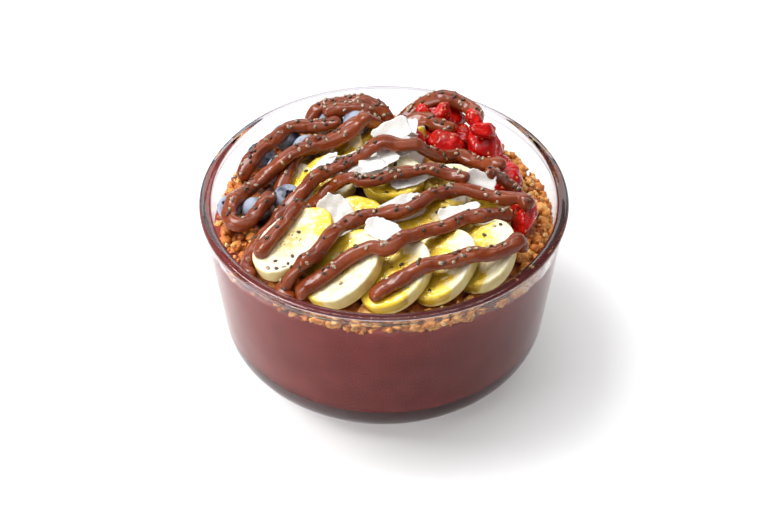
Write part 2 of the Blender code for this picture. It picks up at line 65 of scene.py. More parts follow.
RIM_RADIUS = 0.0825
BOWL_HEIGHT = 0.085
RIM_WIDTH = 0.0053
RIM_DEPTH = 0.0034
RIM_OVERHANG = 0.0010
WALL_THICKNESS = 0.0040
WALL_LEAN = math.radians(5.9)
CORNER_HEIGHT = 0.0213
CORNER_POWER = 2.5
FOOT_RADIUS = 0.0586
FOOT_ROUND = 0.0030
FOOT_WIDTH = 0.0075
BASE_RECESS = 0.0008
FOOT_TOP = 0.0060
FLOOR_THICKNESS = 0.0070
HEEL_HEIGHT = 0.018
HEEL_WIDTH = 0.020
WALL_TOP = BOWL_HEIGHT - RIM_DEPTH
RECESS_SLOPE = 0.0020
RIM_ARC = (-30, 190)
RIM_SQUARENESS = 0.75
RIM_LIFT = 0.55
RIM_STEPS = 26
WALL_STEPS = 44
ROUND_STEPS = 256
MIDDLE_RING = 0.02
CLEAR = (0.96, 0.97, 0.975, 1)


def paint(red, green, blue):
    """A colour from its usual 0 to 255 values, as the linear values that a shader takes."""
    value = np.array([red, green, blue]) / 255
    linear = np.where(value < 0.04045, value / 12.92, ((value + 0.055) / 1.055) ** 2.4)
    return (*linear.tolist(), 1.0)


def finish(name, **settings):
    """A new material whose shader sockets have these settings, underscores for spaces."""
    made = bpy.data.materials.new(name)
    made.use_nodes = True
    shader = made.node_tree.nodes["Principled BSDF"]
    for socket, value in settings.items():
        shader.inputs[socket.replace("_", " ")].default_value = value
    return made


def connect(material, source, target):
    material.node_tree.links.new(source, target)


def noise(material, size, detail=3.0, stretch=(1, 1, 1)):
    """Cloudy noise over the piece, whose blotches are about size across. Gives its output."""
    tree = material.node_tree.nodes
    place = tree.new("ShaderNodeTexCoord")
    scaled = tree.new("ShaderNodeMapping")
    scaled.inputs["Scale"].default_value = stretch
    cloud = tree.new("ShaderNodeTexNoise")
    cloud.inputs["Scale"].default_value = 1 / size
    cloud.inputs["Detail"].default_value = detail
    connect(material, place.outputs["Object"], scaled.inputs["Vector"])
    connect(material, scaled.outputs["Vector"], cloud.inputs["Vector"])
    return cloud.outputs["Fac"]


def ramp(material, source, *stops):
    """Colours or greys over a 0 to 1 value, each stop a (place, colour) pair."""
    made = material.node_tree.nodes.new("ShaderNodeValToRGB")
    bands = made.color_ramp.elements
    while len(bands) < len(stops):
        bands.new(0.5)
    for band, (place, colour) in zip(bands, stops):
        band.position = place
        band.color = colour if isinstance(colour, tuple) else (colour,) * 3 + (1,)
    connect(material, source, made.inputs["Fac"])
    return made.outputs["Color"]


def blend(material, amount, first, second, way="MIX"):
    """The first colour turning into the second as amount goes from 0 to 1."""
    made = material.node_tree.nodes.new("ShaderNodeMix")
    made.data_type = "RGBA"
    made.blend_type = way
    for socket, value in zip((made.inputs[0], made.inputs[6], made.inputs[7]), (amount, first, second)):
        if isinstance(value, bpy.types.NodeSocket):
            connect(material, value, socket)
        else:
            socket.default_value = value
    return made.outputs[2]


def feed(material, socket, source):
    connect(material, source, material.node_tree.nodes["Principled BSDF"].inputs[socket])


def relief(material, *layers):
    """Bumps on the shader's normal, each layer a (height output, depth in metres) pair."""
    last = None
    for height, depth in layers:
        bump = material.node_tree.nodes.new("ShaderNodeBump")
        bump.inputs["Distance"].default_value = depth
        connect(material, height, bump.inputs["Height"])
        if last is not None:
            connect(material, last, bump.inputs["Normal"])
        last = bump.outputs["Normal"]
    feed(material, "Normal", last)


def shell(rows):
    """A closed skin over rings of points, lowest ring first: each ring joins the next one,
    and the first and last ring each close on their middle."""
    rings, around = rows.shape[:2]
    points = np.vstack([rows[0].mean(0)[None], rows.reshape(-1, 3), rows[-1].mean(0)[None]])
    i, j = np.meshgrid(np.arange(rings - 1), np.arange(around), indexing="ij")
    k = (j + 1) % around
    quads = np.stack([i * around + j, i * around + k, (i + 1) * around + k, (i + 1) * around + j], -1)
    j = np.arange(around)
    k = (j + 1) % around
    top = 1 + (rings - 1) * around
    first = np.stack([0 * j, 1 + k, 1 + j], -1)
    last = np.stack([0 * j + len(points) - 1, top + j, top + k], -1)
    return points, (quads.reshape(-1, 4) + 1).tolist() + first.tolist() + last.tolist()


def joined(parts):
    """Many skins as one: the points one after another, and the faces counted on."""
    points, faces, start = [], [], 0
    for some_points, some_faces in parts:
        points.append(some_points)
        faces += [[corner + start for corner in face] for face in some_faces]
        start += len(some_points)
    return np.vstack(points), faces


def in_scene(name, data):
    made = bpy.data.objects.new(name, data)
    bpy.context.scene.collection.objects.link(made)
    return made


def add_piece(name, skin, material, slot, replaced=(), **fields):
    """A smooth piece of the object from a skin, with its material and its per-point fields."""
    points, faces = skin
    mesh = bpy.data.meshes.new(name)
    mesh.from_pydata(points, [], faces)
    mesh.polygons.foreach_set("use_smooth", np.ones(len(faces), bool))
    for label, values in fields.items():
        mesh.attributes.new(label, "FLOAT", "POINT").data.foreach_set("value", np.float32(values))
    mesh.update()
    mesh.materials.append(material)
    made = in_scene(name, mesh)
    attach(made, "root")
    if replaced:
        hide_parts(*replaced)
    return made


def outer_radius(height):
    """The glass's outside: a straight leaning wall, less a power curve below the corner."""
    top = RIM_RADIUS - RIM_OVERHANG
    foot = top - WALL_TOP * math.tan(WALL_LEAN)
    low = np.clip(1 - height / CORNER_HEIGHT, 0, 1) ** CORNER_POWER
    return top - (WALL_TOP - height) * math.tan(WALL_LEAN) - (foot - FOOT_RADIUS) * low


def inner_radius(height):
    """The glass's inside: the outside's curve one wall in, closing a little above the floor,
    with a rounder corner where the glass thickens towards its foot."""
    above = (height - FLOOR_THICKNESS) / (BOWL_HEIGHT - FLOOR_THICKNESS)
    low = np.clip(1 - (height - FLOOR_THICKNESS) / HEEL_HEIGHT, 0, 1) ** CORNER_POWER
    return outer_radius(height - FLOOR_THICKNESS * (1 - above) ** 2) - WALL_THICKNESS - HEEL_WIDTH * low


def full_turn(count):
    """Even steps through one full turn, in radians."""
    return np.linspace(0, 2 * np.pi, count, endpoint=False)


def turned(radii, heights, around):
    """Rings round the bowl's axis: every (radius, height) turned through a full circle."""
    turn = full_turn(around)
    radii, heights = np.array(radii)[:, None], np.array(heights)[:, None]
    return np.stack([radii * np.cos(turn), radii * np.sin(turn), heights + 0 * turn], -1)


foot_turn = np.linspace(np.pi / 2, 0, 7)
foot_in = FOOT_RADIUS - FOOT_WIDTH
bowl_radii = [MIDDLE_RING, foot_in - RECESS_SLOPE, foot_in - RECESS_SLOPE * 0.3, foot_in]
bowl_heights = [BASE_RECESS, BASE_RECESS, BASE_RECESS * 0.6, 0]
bowl_radii += list(outer_radius(FOOT_ROUND) - FOOT_ROUND * (1 - np.cos(foot_turn)))
bowl_heights += list(FOOT_ROUND * (1 - np.sin(foot_turn)))
outside = np.linspace(0, 1, WALL_STEPS)[1:] ** 1.5 * (WALL_TOP - FOOT_ROUND) + FOOT_ROUND
bowl_radii += list(outer_radius(outside))
bowl_heights += list(outside)
rim_turn = np.radians(np.linspace(*RIM_ARC, RIM_STEPS))
bulge = np.abs(np.cos(rim_turn)) ** RIM_SQUARENESS * np.sign(np.cos(rim_turn))
bowl_radii += list(RIM_RADIUS - RIM_WIDTH / 2 + RIM_WIDTH / 2 * bulge)
bowl_heights += list(BOWL_HEIGHT - RIM_DEPTH * RIM_LIFT * (1 - np.sin(rim_turn)))
inside = FLOOR_THICKNESS + np.linspace(1, 0, WALL_STEPS) ** 1.7 * (WALL_TOP - FLOOR_THICKNESS)
bowl_radii += list(inner_radius(inside)) + [inner_radius(FLOOR_THICKNESS) * 0.86, MIDDLE_RING]
bowl_heights += list(inside) + [FLOOR_THICKNESS, FLOOR_THICKNESS]


def edge_on(material):
    """0 where the surface faces the viewer and 1 where it is seen edge on."""
    return material.node_tree.nodes.new("ShaderNodeLayerWeight").outputs["Facing"]


# The glass's colour is painted darker where it is seen edge on, and the rim's is painted grey:
# painted shade for the dark lines that bent light shows in thick glass. The rim bends light most,
# and the foot is painted part white: painted light for the light that the glass carries down to it.
clear_glass = finish(
    "clear_glass", Base_Color=CLEAR, Roughness=0.0, Transmission_Weight=1.0, IOR=1.42,
    Specular_Tint=(0.05, 0.05, 0.05, 1),
)
# Painted shade: the clear glass turns grey where it is seen edge on, for the dark lines that bent light shows
# at its outline
clear_edge_shade_stops = (0.86, CLEAR), (0.97, (0.50, 0.50, 0.54, 1))
feed(clear_glass, "Base Color", ramp(clear_glass, edge_on(clear_glass), *clear_edge_shade_stops))
relief(clear_glass, (noise(clear_glass, 0.03, 1.0), 0.0004))
rim_glass = finish("rim_glass", Roughness=0.02, Transmission_Weight=1.0, IOR=1.5)
# Painted shade: the rim is tinted grey and turns near black where seen edge on, for the dark lines in the
# bead
rim_shade_stops = (0.3, (0.64, 0.62, 0.66, 1)), (0.65, (0.42, 0.40, 0.45, 1)), (0.92, (0.10, 0.09, 0.11, 1))
feed(rim_glass, "Base Color", ramp(rim_glass, edge_on(rim_glass), *rim_shade_stops))
relief(rim_glass, (noise(rim_glass, 0.03, 1.0), 0.0002))
# Painted light: the foot is part white and not wholly clear, for the light that the glass carries down into
# its foot
foot_glass_painted_light = finish("foot_glass_painted_light", Roughness=0.03, Transmission_Weight=0.72, IOR=1.5)
foot_painted_light_stops = (0.35, (0.82, 0.85, 0.87, 1)), (0.65, (0.90, 0.92, 0.94, 1))
feed(foot_glass_painted_light, "Base Color", ramp(foot_glass_painted_light, noise(foot_glass_painted_light, 0.03), *foot_painted_light_stops))

bowl_skin = shell(turned(bowl_radii, bowl_heights, ROUND_STEPS))
bowl = add_piece("bowl", bowl_skin, clear_glass, "glass", ["glass_bowl"])
bowl.data.materials.append(rim_glass)
bowl.data.materials.append(foot_glass_painted_light)
face_heights = [face.center.z for face in bowl.data.polygons]
glass_kinds = [1 if z > WALL_TOP else 2 if z < FOOT_TOP else 0 for z in face_heights]
bowl.data.polygons.foreach_set("material_index", glass_kinds)
bowl.visible_shadow = False

# ---- acai
# Blended frozen acai, thick and dull, filled in against the glass with an uneven line at
# its top. It reaches just into the wall, so that no air shows between it and the glass.

ACAI_FRONT_LEVEL = 0.0735
ACAI_SLOPE = 0.061
INTO_WALL = 0.00015
SMEARED_UP = 0.0022
SMEARED_OVER = 0.06


def one_long(ways):
    """The same directions, each one unit long."""
    return ways / np.linalg.norm(ways, axis=-1, keepdims=True)


def waves(points, size, seed, count=14):
    """Smooth random heights, mostly -1 to 1: sine waves about size long, in random directions,
    added up."""
    random = np.random.default_rng(seed)
    way = one_long(random.normal(size=(count, points.shape[-1])))
    way *= 2 * np.pi / size * random.uniform(0.6, 1.6, (count, 1))
    return np.sin(points @ way.T + random.uniform(0, 2 * np.pi, count)).sum(-1) / math.sqrt(count)


def acai_level(y):
    return ACAI_FRONT_LEVEL - ACAI_SLOPE * (y + RIM_RADIUS)


ACAI_FLOOR = FLOOR_THICKNESS - INTO_WALL
around_wall = turned([RIM_RADIUS], [0], 320)[0]
wall_x, wall_y = around_wall[:, 0], around_wall[:, 1]
acai_line = acai_level(wall_y) + 0.0007 * waves(around_wall, 0.011, 1) + 0.0003 * waves(around_wall, 0.003, 2)
acai_line = acai_line + SMEARED_UP * np.clip(-wall_x / SMEARED_OVER, 0, 1)
rise = (np.linspace(0, 1, 60) ** 1.7)[:, None]
acai_heights = ACAI_FLOOR + rise * (acai_line - ACAI_FLOOR)
acai_radii = inner_radius(np.maximum(acai_heights, FLOOR_THICKNESS)) + INTO_WALL
floor_radii = np.linspace(0.05, 1, 6)[:-1, None] * acai_radii[0]
top_radii = np.linspace(1, 0.05, 24)[1:, None] * acai_radii[-1]
acai_radii = np.vstack([floor_radii, acai_radii, top_radii])
acai_heights = np.vstack([0 * floor_radii + ACAI_FLOOR, acai_heights, 0 * top_radii + acai_line])
acai_rows = np.stack([acai_radii * wall_x / RIM_RADIUS, acai_radii * wall_y / RIM_RADIUS, acai_heights], -1)

puree = finish("acai_puree", Roughness=0.6, Specular_IOR_Level=0.0)
puree_stops = (0.3, paint(123, 54, 51)), (0.5, paint(127, 57, 54)), (0.75, paint(135, 62, 59))
feed(puree, "Base Color", ramp(puree, noise(puree, 0.012, 1.0), *puree_stops))
add_piece("acai", shell(acai_rows), puree, "acai", ["acai_base"])

# ---- granola
# Toasted oat granola in small clusters, spread over the acai up to the glass. A rough core
# takes the fruit's weight, with the loose clusters, round puffs and crumbs lying on it.

GRANOLA_EDGE = 0.0055
MOUND = np.array([0.002, 0.050])
MOUND_SPREAD = np.array([0.045, 0.026])
MOUND_HEIGHT = 0.006
DOME_HEIGHT = 0.004
CORE_DROP = 0.0022
EDGE_DROP = 0.0030
EDGE_POWER = 12
LOW_RINGS = 6
# Within this reach of the middle the granola is painted darker, as juice stain and painted shade among the
# fruit; it fades out over the next
SHADED_SOAKED_RADIUS = 0.060
SHADED_SOAKED_FADE = 0.004
LOOSE_RADIUS = 0.0745
SCATTER_REACH = 0.077
CLUSTER_SIZES = (0.0034, 0.0064)
CRUMB_SIZES = (0.0012, 0.0024)
PRESSED_SIZES = (0.0018, 0.0042)
PUFF_SIZES = (0.0022, 0.0042)


def granola_level(x, y):
    """A low dome over the slope of the acai, plus a soft mound at the back."""
    reach = np.clip(np.hypot(x, y) / inner_radius(ACAI_FRONT_LEVEL), 0, 1)
    away = ((x - MOUND[0]) / MOUND_SPREAD[0]) ** 2 + ((y - MOUND[1]) / MOUND_SPREAD[1]) ** 2
    dome = DOME_HEIGHT * (1 - reach**2) ** 0.8
    return acai_level(y) + GRANOLA_EDGE + dome + MOUND_HEIGHT * np.exp(-away)


def shaded_stained_among_fruit(x, y):
    """1 well inside the ring of berries, where the granola is painted darker as juice stain and painted shade
    among the fruit, and 0 outside.
    """
    left = np.clip((SHADED_SOAKED_RADIUS - np.hypot(x, y)) / SHADED_SOAKED_FADE, 0, 1) * (x < 0.02)
    return left * np.clip((y + SHADED_SOAKED_RADIUS / 2) / SHADED_SOAKED_FADE, 0, 1)


core_reach = np.concatenate([np.linspace(0.04, 1, LOW_RINGS), np.linspace(1, 0.01, 90)[1:]])[:, None]
core_turn = full_turn(300)
core_edge = inner_radius(0.073) - 0.0006
core_x, core_y = core_reach * core_edge * np.cos(core_turn), core_reach * core_edge * np.sin(core_turn)
core_points = np.stack([core_x, core_y, 0 * core_x], -1)
core_top = granola_level(core_x, core_y) - CORE_DROP - EDGE_DROP * core_reach**EDGE_POWER
core_top = core_top + 0.0006 * waves(core_points, 0.004, 3) + 0.0004 * waves(core_points, 0.0018, 4)
core_low = acai_level(core_y) - 0.002
core_z = np.where(np.arange(len(core_reach))[:, None] < LOW_RINGS, core_low, core_top)
granola_rows = np.stack([core_x, core_y, core_z], -1)


def field(material, label):
    """The value of one of the piece's per-point fields."""
    reader = material.node_tree.nodes.new("ShaderNodeAttribute")
    reader.attribute_name = label
    return reader.outputs["Fac"]


toasted = finish("toasted_granola", Roughness=0.6, Subsurface_Weight=0.12, Subsurface_Scale=0.002)
grain = noise(toasted, 0.0016, 4.0)
browned = ramp(
    toasted, field(toasted, "tone"), (0.0, paint(84, 40, 20)), (0.1, paint(172, 86, 30)),
    (0.3, paint(218, 130, 50)), (0.65, paint(238, 170, 86)), (1.0, paint(248, 216, 152)),
)
speckled = ramp(toasted, grain, (0.35, 0.6), (0.6, 1.0))
feed(toasted, "Base Color", blend(toasted, 0.75, browned, speckled, "MULTIPLY"))
relief(toasted, (grain, 0.0006))
core_spots = shell(core_points)[0]
# Juice stain and painted shade: the core turns dark brown among the fruit
core_tone_and_shade = 0.15 + 0.12 * waves(core_spots, 0.006, 5) - 0.4 * shaded_stained_among_fruit(core_spots[:, 0], core_spots[:, 1])
add_piece("granola_core", shell(granola_rows), toasted, "granola", ["granola_bed"], tone=core_tone_and_shade)


def skin_of(name):
    """A CAD node's points and triangles."""
    mesh = nodes[name].data
    points = np.empty(len(mesh.vertices) * 3)
    mesh.vertices.foreach_get("co", points)
    return points.reshape(-1, 3), [list(face.vertices) for face in mesh.polygons]


def tree_of(names):
    """The CAD nodes as one search tree, and for each of its faces the node's name."""
    owners = [name for name in names for _ in nodes[name].data.polygons]
    points, faces = joined([skin_of(name) for name in names])
    return BVHTree.FromPolygons(points.tolist(), faces), owners


def dropped(tree, x, y):
    """Where something that falls straight down lands: the point, the slope and the face."""
    return tree.ray_cast(Vector((x, y, 0.15)), Vector((0, 0, -1)))[:3]


in_bowl = [name for name in nodes if name != "glass_bowl"]
heap_tree, heap_owner = tree_of(in_bowl)


def ball(polar, turn):
    """A unit ball's points, for angles down from its top and angles round it."""
    out = np.sin(polar)
    return np.stack([out * np.cos(turn), out * np.sin(turn), np.cos(polar) + 0 * turn], -1)


def many_skins(rows):
    """The closed skins of many like pieces as one, from all their rings of points."""
    count, faces = len(rows), shell(rows[0])[1]
    low, high = rows[:, 0].mean(1)[:, None], rows[:, -1].mean(1)[:, None]
    points = np.concatenate([low, rows.reshape(count, -1, 3), high], 1)
    starts = range(0, points.shape[0] * points.shape[1], points.shape[1])
    return points.reshape(-1, 3), [[corner + start for corner in face] for start in starts for face in faces]


def random_turns(random, *count):
    """Three square directions turned at random, once or count times over."""
    turns, _ = np.linalg.qr(random.normal(size=(*count, 3, 3)))
    return turns * np.sign(np.linalg.det(turns))[..., None, None]


def add_lumps(name, material, places, sizes, tones, seed, rings=5, around=8, rough=0.22, flat=0.8):
    """Rough round lumps as one piece: a ball's rings whose radius varies at random from
    point to point, each squashed, turned at random, sized and put in its place."""
    random = np.random.default_rng(seed)
    count = len(places)
    unit = ball(np.linspace(np.pi, 0, rings + 2)[1:-1, None], full_turn(around))
    radius = 1 + rough * random.normal(size=(count, rings, around, 1)).clip(-1.5, 1.5)
    rows = unit[None] * radius * np.array([1, random.uniform(0.8, 1), flat])
    rows = np.einsum("nrac,ncd->nrad", rows, random_turns(random, count))
    rows = rows * (sizes / 2)[:, None, None, None] + places[:, None, None, :]
    skin = many_skins(rows)
    add_piece(name, skin, material, "granola", tone=np.repeat(tones, len(skin[0]) // count))


def scatter(random, tries, sizes, closest, within):
    """Random places on the bare granola, none nearer than closest times their sizes."""
    found = []
    spots = random.uniform(-SCATTER_REACH, SCATTER_REACH, (2, tries))
    for x, y, size in zip(*spots, random.uniform(*sizes, tries)):
        if not within(x, y):
            continue
        point, _, face = dropped(heap_tree, x, y)
        if point is None or heap_owner[face] != "granola_bed":
            continue
        reach = closest * size
        near = [other for other in found if abs(other[0] - x) < reach and abs(other[1] - y) < reach]
        if all(math.hypot(other[0] - x, other[1] - y) > closest * (size + other[3]) / 2 for other in near):
            found.append((x, y, point.z, size))
    return np.array(found)


def in_glass(x, y):
    return math.hypot(x, y) < LOOSE_RADIUS and shaded_stained_among_fruit(x, y) < 0.5


luck = np.random.default_rng(11)
clusters = scatter(luck, 2600, CLUSTER_SIZES, 0.72, in_glass)
cluster_rim = (np.hypot(clusters[:, 0], clusters[:, 1]) / core_edge)[:, None] ** EDGE_POWER
cluster_places = clusters[:, :3] + [0, 0, 1] * (clusters[:, 3:] * 0.12 - 0.0004 - EDGE_DROP * cluster_rim)
cluster_tones = luck.beta(2.2, 2.0, len(clusters)) * np.where(clusters[:, 0] < -0.03, 0.5, 1.0)
add_lumps(
    "granola_clusters", toasted, cluster_places, clusters[:, 3] * 1.1, cluster_tones, 12,
    rough=0.15, flat=0.85,
)

crumbs = scatter(luck, 2400, CRUMB_SIZES, 0.8, in_glass)
crumb_lifts = crumbs[:, 3:] * 0.3 + luck.uniform(-0.001, 0.0008, (len(crumbs), 1))
crumb_places, crumb_tones = crumbs[:, :3] + [0, 0, 1] * crumb_lifts, luck.beta(2.5, 1.8, len(crumbs))
add_lumps(
    "granola_crumbs", toasted, crumb_places, crumbs[:, 3], crumb_tones, 13, rings=3, around=6, rough=0.3,
)

# Clusters that the fruit has pushed out against the glass, in a broken band over the acai
PRESSED = 330
press_turn = luck.uniform(0, 2 * np.pi, 3 * PRESSED)
press_round = np.stack([np.cos(press_turn), np.sin(press_turn)], -1) * RIM_RADIUS
press_order = luck.normal(0, 1.1, 3 * PRESSED) - waves(press_round, 0.02, 6)
press_order = press_order - 40 * np.clip(press_round[:, 0] + 0.02, -0.06, 0)
press_turn = press_turn[np.argsort(press_order)[:PRESSED]]
press_size = luck.uniform(*PRESSED_SIZES, PRESSED)
press_up = luck.beta(1.2, 2.6, PRESSED) * GRANOLA_EDGE
press_height = acai_level(RIM_RADIUS * np.sin(press_turn)) + press_up
press_radius = inner_radius(press_height) - press_size * 0.42
press_x, press_y = press_radius * np.cos(press_turn), press_radius * np.sin(press_turn)
press_places = np.column_stack([press_x, press_y, press_height])
press_tones = luck.beta(2.2, 2.4, PRESSED) * 0.85
add_lumps("granola_at_glass", toasted, press_places, press_size, press_tones, 14)

# Round puffed grains, glazed a deeper gold, along the right side
puffed = finish("puffed_grain", Roughness=0.38, Subsurface_Weight=0.15, Subsurface_Scale=0.003)
puff_grain = noise(puffed, 0.002, 4.0)
puff_stops = (0.0, paint(190, 104, 34)), (0.5, paint(228, 148, 64)), (1.0, paint(244, 190, 112))
golden = ramp(puffed, field(puffed, "tone"), *puff_stops)
pitted = ramp(puffed, puff_grain, (0.35, 0.55), (0.6, 1.0))
feed(puffed, "Base Color", blend(puffed, 0.6, golden, pitted, "MULTIPLY"))
relief(puffed, (puff_grain, 0.0004))


def right_edge(x, y):
    return x > 0.045 and SHADED_SOAKED_RADIUS < math.hypot(x, y) < LOOSE_RADIUS


puffs = scatter(luck, 1500, PUFF_SIZES, 0.84, right_edge)
puff_places = puffs[:, :3] + [0, 0, 1] * (puffs[:, 3:] * 0.25)
add_lumps(
    "puffed_grains", puffed, puff_places, puffs[:, 3] * 1.1, luck.uniform(0, 1, len(puffs)), 15,
    rings=6, around=10, rough=0.15, flat=0.85,
)

# ---- blueberries
# Whole fresh blueberries at the left and back: a little flattened, with a star-shaped crown
# round a sunken scar, and a pale dusty bloom that is rubbed off in places.

BERRY_FLATNESS = 0.88
PLUMPER = 1.17
# For each berry: how far its crown leans, and the compass direction it leans to
CROWN_LEANS = [
    (30, 250), (40, 90), (25, 160), (35, 300), (20, 120), (30, 30), (45, 280), (20, 90), (50, 290), (50, 290),
]


def axes_from(upper, turn=0.0):
    """Three square directions of which the third is upper, the others turned about it."""
    upper = one_long(np.array(upper))
    side = one_long(np.cross(upper, [0.0, 0.0, 1.0] if abs(upper[2]) < 0.99 else [0.0, 1.0, 0.0]))
    other = np.cross(upper, side)
    c, s = math.cos(turn), math.sin(turn)
    return np.array([side * c + other * s, other * c - side * s, upper])


def blueberry(radius, centre, axes, seed):
    """A flattened ball. Near its top the radius is pushed up into a five-pointed ring and
    down into a cup inside it, and waves make the rest a little uneven."""
    polar = np.concatenate([np.linspace(np.pi, 0.6, 26), np.linspace(0.6, 0.02, 22)[1:]])[:, None]
    turn = full_turn(60)
    unit = ball(polar, turn)
    ring = 0.36 + 0.05 * np.cos(5 * turn)
    crown = np.exp(-(((polar - ring) / 0.07) ** 2)) * (0.75 + 0.25 * np.cos(5 * turn))
    cup = 1 / (1 + np.exp((polar - ring + 0.02) / 0.025))
    size = radius * (1 + 0.085 * crown - 0.12 * cup + 0.012 * waves(unit, 1.5, seed))
    rows = unit * size[..., None] * [1, 1, BERRY_FLATNESS]
    return shell(rows @ axes + centre), np.concatenate([[0], (cup + 0.7 * crown).reshape(-1), [1]])


berry_skins = finish("blueberry_skin", Roughness=0.5, Specular_IOR_Level=0.35)
bloom = ramp(berry_skins, noise(berry_skins, 0.006, 6.0), (0.36, 0.0), (0.56, 1.0))
berry_colour = blend(berry_skins, bloom, paint(50, 54, 72), paint(160, 168, 186))
berry_colour = blend(berry_skins, field(berry_skins, "scar"), berry_colour, paint(46, 40, 52))
feed(berry_skins, "Base Color", berry_colour)
feed(berry_skins, "Roughness", ramp(berry_skins, noise(berry_skins, 0.006, 6.0), (0.36, 0.35), (0.56, 0.6)))
relief(berry_skins, (noise(berry_skins, 0.0008), 0.0001))

for number, (lean, way) in enumerate(CROWN_LEANS, 1):
    node = f"blueberry_{number:02d}"
    low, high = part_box(node)
    middle = np.array((low + high) / 2)
    upper = ball(np.radians(lean), np.radians(way))
    radius = max(high.x - low.x, high.y - low.y) / 2 * PLUMPER
    middle[2] += radius - radius / PLUMPER
    skin, scar = blueberry(radius, middle, axes_from(upper), number)
    add_piece(f"whole_blueberry_{number:02d}", skin, berry_skins, "blueberry", [node], scar=scar)

# ---- strawberries
# Strawberries cut into rough wedges, wet with their own juice: deep red skin with seeds in
# dimples, and smooth cut faces of brighter flesh. Each is a ball cut back by flat planes.


def fitted(name):
    """A CAD node's middle, its long, middle and short directions, and half sizes along them."""
    points = skin_of(name)[0]
    middle = (points.max(0) + points.min(0)) / 2
    points = points - points.mean(0)
    ways = np.linalg.svd(points, full_matrices=False)[2]
    if ways[2, 2] < 0:
        ways[2] *= -1
    ways[0] = np.cross(ways[1], ways[2])
    reach = points @ ways.T
    return middle, ways, np.ptp(reach, axis=0) / 2


def with_poles(values):
    """A per-point field in the order of a skin's points, its poles taking their rings' mean."""
    return np.concatenate([[values[0].mean()], values.reshape(-1), [values[-1].mean()]])


def strawberry(middle, axes, half, seed, rings=60, around=100):
    """A ball stretched to the piece's half sizes. Planes at random slants cut it back, the
    seeds' dimples are pressed into what skin is left, and waves roughen it."""
    random = np.random.default_rng(seed)
    polar = np.linspace(np.pi, 0, rings + 2)[1:-1, None]
    turn = full_turn(around)
    unit = ball(polar, turn)
    slants = one_long(random.normal(size=(7, 3)))
    reach = random.uniform(0.68, 0.88, 7) / np.maximum(unit @ slants.T, 0.05)
    reach = np.concatenate([np.ones(unit.shape[:2] + (1,)), reach], -1)
    size = (reach**-14.0).sum(-1) ** (-1 / 14)
    flesh = np.clip((1 - reach[..., 1:].min(-1)) * 9, 0, 1)
    spots = one_long(random.normal(size=(46, 3)))
    gap = np.arccos(np.clip((unit @ spots.T).max(-1), -1, 1))
    pit = np.exp(-((gap / 0.11) ** 2)) * (1 - flesh)
    seed_mark = (gap < 0.055) * (1 - flesh)
    size = size * (1 + 0.05 * waves(unit, 0.9, seed) + 0.012 * waves(unit, 0.3, seed + 9))
    size = size - 0.05 * pit + 0.03 * seed_mark
    skin = shell((unit * size[..., None] * half * 1.04) @ axes + middle)
    return skin, with_poles(flesh), np.concatenate([[0], seed_mark.reshape(-1), [0]])


berry_flesh = finish(
    "strawberry_flesh", Roughness=0.24, Specular_IOR_Level=0.35, Subsurface_Weight=0.12,
    Subsurface_Scale=0.002, Subsurface_Radius=(1.0, 0.25, 0.15), Coat_Weight=0.3, Coat_Roughness=0.08,
)
skin_stops = (0.35, paint(158, 2, 4)), (0.65, paint(202, 8, 6))
skin_red = ramp(berry_flesh, noise(berry_flesh, 0.006), *skin_stops)
flesh_stops = (0.3, paint(186, 6, 5)), (0.6, paint(216, 20, 12)), (0.85, paint(232, 60, 34))
flesh_red = ramp(berry_flesh, noise(berry_flesh, 0.003, 5.0), *flesh_stops)
berry_red = blend(berry_flesh, field(berry_flesh, "flesh"), skin_red, flesh_red)
berry_red = blend(berry_flesh, field(berry_flesh, "seeds"), berry_red, paint(226, 178, 96))
feed(berry_flesh, "Base Color", berry_red)
relief(berry_flesh, (noise(berry_flesh, 0.003, 2.0), 0.0004))
for number in range(1, 7):
    node = f"strawberry_piece_{number:02d}"
    skin, flesh, marks = strawberry(*fitted(node), 20 + number)
    add_piece(
        f"cut_strawberry_{number:02d}", skin, berry_flesh, "strawberry", [node], flesh=flesh, seeds=marks,
    )

# Smaller chunks tucked in between and round the larger ones, over the granola: x, y and for
# some how far they are propped up, in mm
CHUNKS = [
    (40, 49), (35, 45), (37, 33), (53, 26), (49, 21), (45, 29), (20, 46), (19, 60), (36, 65), (59, 3),
    (60, -3), (55, 33), (28, 48), (13, 52), (57, -20), (38, 50, 4), (33, 51, 3), (42, 45, 3), (27, 53, 2),
    (37, 46, 4), (46, 38, 1),
]
CHUNK_SMALLEST, CHUNK_LARGEST = (0.0048, 0.0038, 0.0030), (0.0068, 0.0050, 0.0042)
UNDER_STRING = 0.006
CHUNK_LIFT = 0.0012
chunks = []
for number, (x, y, *lift) in enumerate(CHUNKS):
    point, _, face = dropped(heap_tree, x / 1000, y / 1000)
    if heap_owner[face].startswith("chocolate"):
        point.z -= UNDER_STRING
    random = np.random.default_rng(300 + number)
    spin = random_turns(random)
    half = random.uniform(CHUNK_SMALLEST, CHUNK_LARGEST)
    middle = np.array(point) + [0, 0, CHUNK_LIFT + sum(lift) / 1000]
    chunks.append(strawberry(middle, spin, half, 80 + number, 36, 52))
chunk_skins, chunk_flesh, chunk_marks = zip(*chunks)
add_piece(
    "strawberry_chunks", joined(chunk_skins), berry_flesh, "strawberry",
    flesh=np.concatenate(chunk_flesh), seeds=np.concatenate(chunk_marks),
)

# ---- bananas
# Thick slices of ripe banana, cut on a slant: a fan of five long ovals at the front over a
# second row. Cream cut faces with a softer, seeded middle, and a smooth peeled side.

# For each slice: the compass direction that its honey gathers to, and how far in it reaches
HONEYED = [
    (200, 0.3), (250, 0.1), (120, 0.3), (180, 1.1), (160, 0.9), (20, 0.3), (165, 0.45), (175, 0.45),
    (185, 0.55), (140, 0.1), (38, -0.42),
]
SLICE_EDGE = 0.0009
FILM_DEEPEST = 0.0005
FILM_HIDDEN = 0.0003


def smooth_step(value, low, high):
    """0 below low, 1 above high, and an S-shaped rise between them."""
    part = np.clip((value - low) / (high - low), 0, 1)
    return part * part * (3 - 2 * part)


